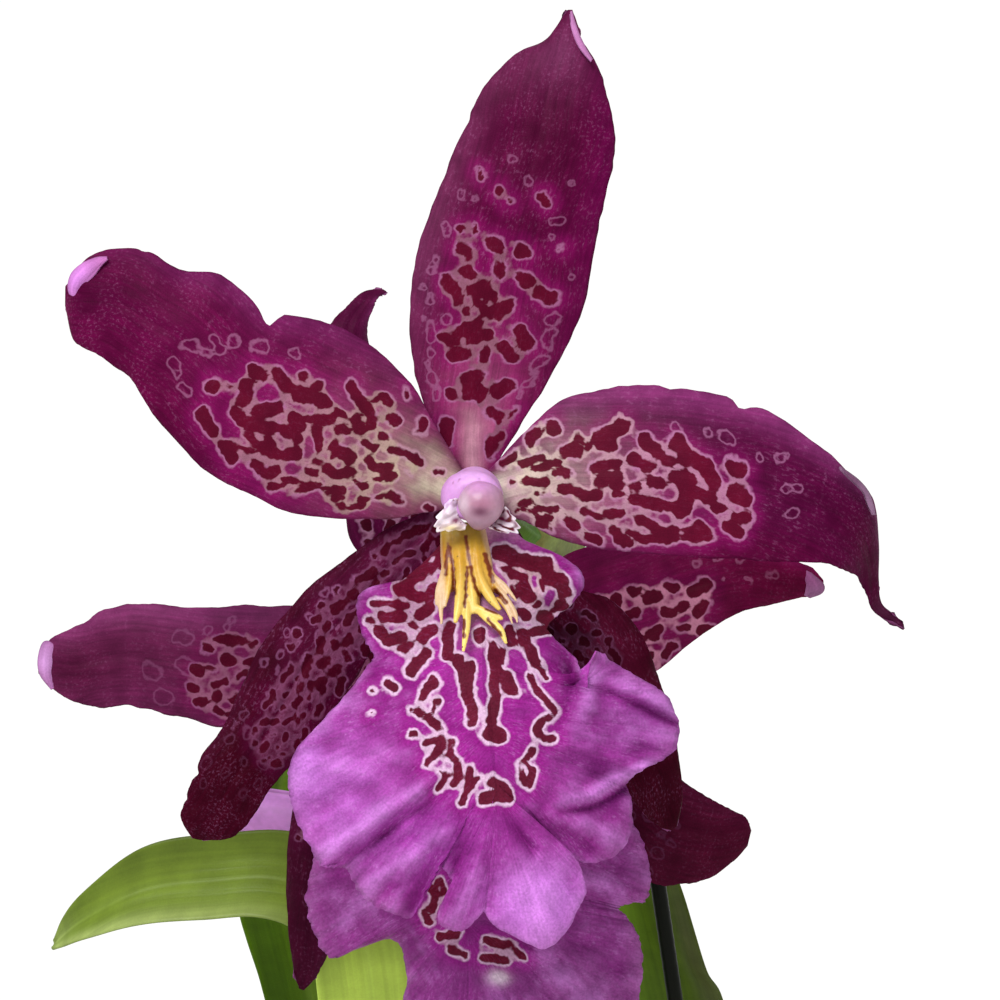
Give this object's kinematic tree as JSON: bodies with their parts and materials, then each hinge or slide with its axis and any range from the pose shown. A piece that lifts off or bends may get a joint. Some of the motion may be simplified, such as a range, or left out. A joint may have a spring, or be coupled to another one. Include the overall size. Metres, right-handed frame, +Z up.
{
  "type": "potted aliceara orchid",
  "caption": "Potted orchid with open spotted star-shaped blooms and a bud on one arching spike, strap leaves on pseudobulbs, a thin stake, bark, and a plain clay pot.",
  "frame": {"origin": "centre of the pot's flat underside, where it stands", "axes": "+Z up along the pot's axis, the blooms face -Y, +X to the right of a viewer in front"},
  "size_m": [0.2313, 0.2105, 0.4252],
  "materials": {
    "front_tepal": "satin",
    "rear_tepal": "satin",
    "lip": "satin",
    "callus": "satin",
    "column": "satin",
    "anther_cap": "satin",
    "bud": "satin",
    "stem": "satin",
    "leaf": "satin",
    "pseudobulb": "satin",
    "stake": "matte",
    "bark": "matte",
    "clay": "matte"
  },
  "bodies": {
    "root": {"front_dorsal_sepal": "front_tepal", "front_left_petal": "front_tepal", "front_right_petal": "front_tepal", "front_left_sepal": "front_tepal", "front_right_sepal": "front_tepal", "front_lip": "lip", "front_callus": "callus", "front_column": "column", "front_anther_cap": "anther_cap", "rear_dorsal_sepal": "rear_tepal", "rear_left_petal": "rear_tepal", "rear_right_petal": "rear_tepal", "rear_left_sepal": "rear_tepal", "rear_right_sepal": "rear_tepal", "rear_lip": "lip", "rear_callus": "callus", "rear_column": "column", "rear_anther_cap": "anther_cap", "flower_spike": "stem", "bud": "bud", "stake": "stake", "left_arching_leaf": "leaf", "left_upright_leaf": "leaf", "right_upright_leaf": "leaf", "right_arching_leaf": "leaf", "back_arching_leaf": "leaf", "left_low_leaf": "leaf", "front_low_leaf": "leaf", "back_right_leaf": "leaf", "front_pseudobulb": "pseudobulb", "right_pseudobulb": "pseudobulb", "back_pseudobulb": "pseudobulb", "bark": "bark", "pot": "clay"}
  },
  "joints": []
}
